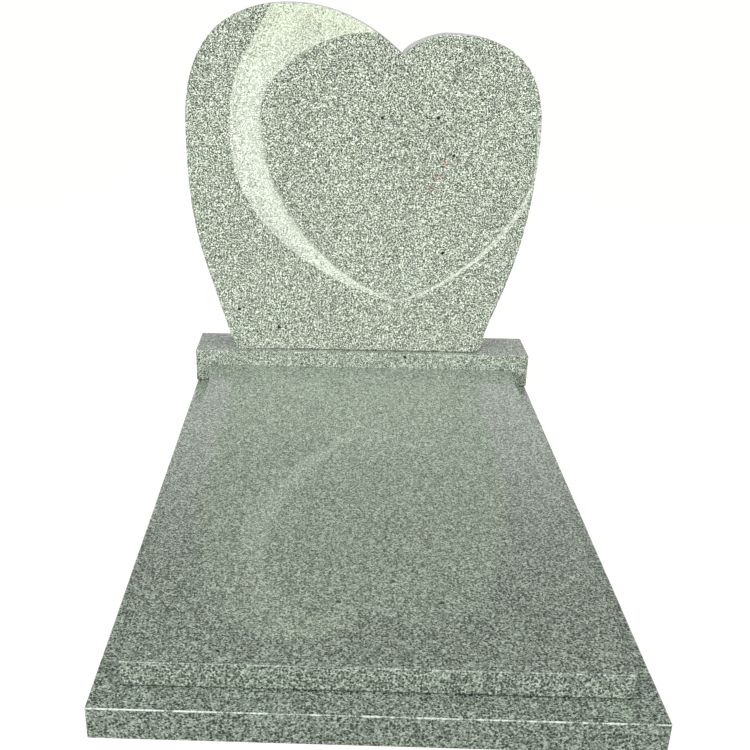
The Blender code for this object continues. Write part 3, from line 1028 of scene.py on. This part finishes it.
# The front bar's front face is darkened and dulled.
block("kerb_bar_front", "kerb_front", "kerb_granite", kerb_granite, seed=31, front_darkening=0.22, **front_look)
block("kerb_bar_left", "kerb_left", "kerb_granite", lightened_side_granite, seed=41, **side_look)
block("kerb_bar_right", "kerb_right", "kerb_granite", lightened_side_granite, seed=51, **side_look)
block("kerb_bar_rear", "kerb_rear", "kerb_granite", kerb_granite, seed=61, **rear_look)

# %% [markdown]
# The floor
#
# The memorial stands on a plain floor that is as pale as the background of the picture. A white floor would
# throw so much light upwards that the stone's lower edges would glow. So its colour is a middle grey, and
# it gives out extra light that only the camera sees.

# %% Floor
FLOOR_HALF = 150.0
FLOOR_COLOUR = "#767674"
FLOOR_SHOWN = 4.9
FLOOR_ROUGHNESS = 0.9
FLOOR_SPECULAR = 0.2
FLOOR_DROP = 0.5 * MM
floor_mesh = bpy.data.meshes.new("studio_floor")
floor_corners = [(-FLOOR_HALF, -FLOOR_HALF, 0), (FLOOR_HALF, -FLOOR_HALF, 0)]
floor_corners += [(FLOOR_HALF, FLOOR_HALF, 0), (-FLOOR_HALF, FLOOR_HALF, 0)]
floor_mesh.from_pydata(floor_corners, [], [(0, 1, 2, 3)])
floor_paint = bpy.data.materials.new("studio_floor_paint")
floor_paint.use_nodes = True
floor_shader = floor_paint.node_tree.nodes["Principled BSDF"]
floor_shader.inputs["Base Color"].default_value = linear(FLOOR_COLOUR)
floor_shader.inputs["Roughness"].default_value = FLOOR_ROUGHNESS
floor_shader.inputs["Specular IOR Level"].default_value = FLOOR_SPECULAR
floor_shader.inputs["Emission Color"].default_value = linear(FLOOR_COLOUR)
floor_seen = add(floor_paint.node_tree, "ShaderNodeLightPath", give="Is Camera Ray")
lifted = add(floor_paint.node_tree, "ShaderNodeMath", {0: floor_seen, 1: FLOOR_SHOWN}, operation="MULTIPLY")
floor_paint.node_tree.links.new(lifted, floor_shader.inputs["Emission Strength"])
floor_mesh.materials.append(floor_paint)
studio_floor = bpy.data.objects.new("studio_floor", floor_mesh)
studio_floor.location.z = -FLOOR_DROP
bpy.context.scene.collection.objects.link(studio_floor)
print("floor", 2 * FLOOR_HALF, "m wide")

# %% [markdown]
# The sky
#
# A polished slab shows whatever it mirrors, so the sky is planned as a reflection first. It is even and
# softly bright low down, which is what the far end of the ledger mirrors, and brighter overhead. A dark
# flag hangs high behind the headstone, where the near end of the ledger looks, and keeps the stone's own
# colour there. The camera itself sees plain white. A photograph of a sky would do the same work, but then
# every file that uses the scene would need it.

# %% Sky
SKY_LOW = 0.60
SKY_HIGH = 0.90
SKY_CLIMB = (0.40, 0.85)
FLAG = 0.22
FLAG_BACK = (0.15, 0.45)
FLAG_UP = (0.42, 0.58)
SKY_SHOWN = 1.0

world = bpy.data.worlds.new("studio_sky")
bpy.context.scene.world = world
world.use_nodes = True
sky = world.node_tree
looking = add(sky, "ShaderNodeTexCoord", give="Generated")
up = add(sky, "ShaderNodeSeparateXYZ", {0: looking}, "Z")
back = up.node.outputs["Y"]
smooth = {"kind": "ShaderNodeMapRange", "interpolation_type": "SMOOTHSTEP"}
climb = add(sky, **smooth, inputs={0: up, 1: SKY_CLIMB[0], 2: SKY_CLIMB[1], 3: SKY_LOW, 4: SKY_HIGH})
behind = add(sky, **smooth, inputs={0: back, 1: FLAG_BACK[0], 2: FLAG_BACK[1]})
high_up = add(sky, **smooth, inputs={0: up, 1: FLAG_UP[0], 2: FLAG_UP[1]})
flag = add(sky, "ShaderNodeMath", {0: behind, 1: high_up}, operation="MULTIPLY")
level = add(sky, "ShaderNodeMix", {0: flag, 2: climb, 3: FLAG})
seen = add(sky, "ShaderNodeLightPath", give="Is Camera Ray")
shown = add(sky, "ShaderNodeMix", {0: seen, 2: level, 3: SKY_SHOWN})
sky.links.new(shown, sky.nodes["Background"].inputs["Color"])
print("sky from", SKY_LOW, "to", SKY_HIGH)

# %% [markdown]
# The light
#
# Two large soft panels stand low on each side of the camera, so the upright faces come out brighter than
# the flat ones. The left one is stronger, as in the picture. A weak one overhead lifts the far end of the
# ledger, and another stands behind, so that the back of the stone isn't black. Large panels give soft
# shadows, and a small lamp would draw hard ones. All four stay out of the mirror image, where they would
# lie over the polish as a glare.

# %% Lights
# Each panel has its place, the point that it faces, its power in watts, and its spread in degrees.
PANELS = {
    "left": ((-2.6, -2.7, 1.35), (-0.35, 0.66, 0.60), 81.0, 110.0),
    "right": ((2.6, -2.7, 1.35), (0.35, 0.66, 0.60), 61.0, 110.0),
    "overhead": ((0.0, 0.60, 2.3), (0.0, 0.68, 0.0), 4.0, 40.0),
    "behind": ((0.0, 4.50, 1.7), (0.0, 0.80, 0.50), 20.0, 90.0),
}
PANEL_SIZE = (1.3, 1.0)

for panel_name, (place, target, power, spread) in PANELS.items():
    panel = bpy.data.lights.new(f"soft_panel_{panel_name}", "AREA")
    panel.shape = "RECTANGLE"
    panel.size, panel.size_y = PANEL_SIZE
    panel.energy = power
    panel.spread = math.radians(spread)
    stand = bpy.data.objects.new(f"soft_panel_{panel_name}", panel)
    stand.location = place
    stand.rotation_euler = (Vector(place) - Vector(target)).to_track_quat("Z", "Y").to_euler()
    stand.visible_glossy = False
    bpy.context.scene.collection.objects.link(stand)
    print(panel_name, "panel", round((Vector(place) - Vector(target)).length, 2), "m from its target")

# The plain view keeps the colours of the stone as they were picked.
bpy.context.scene.view_settings.view_transform = "Standard"
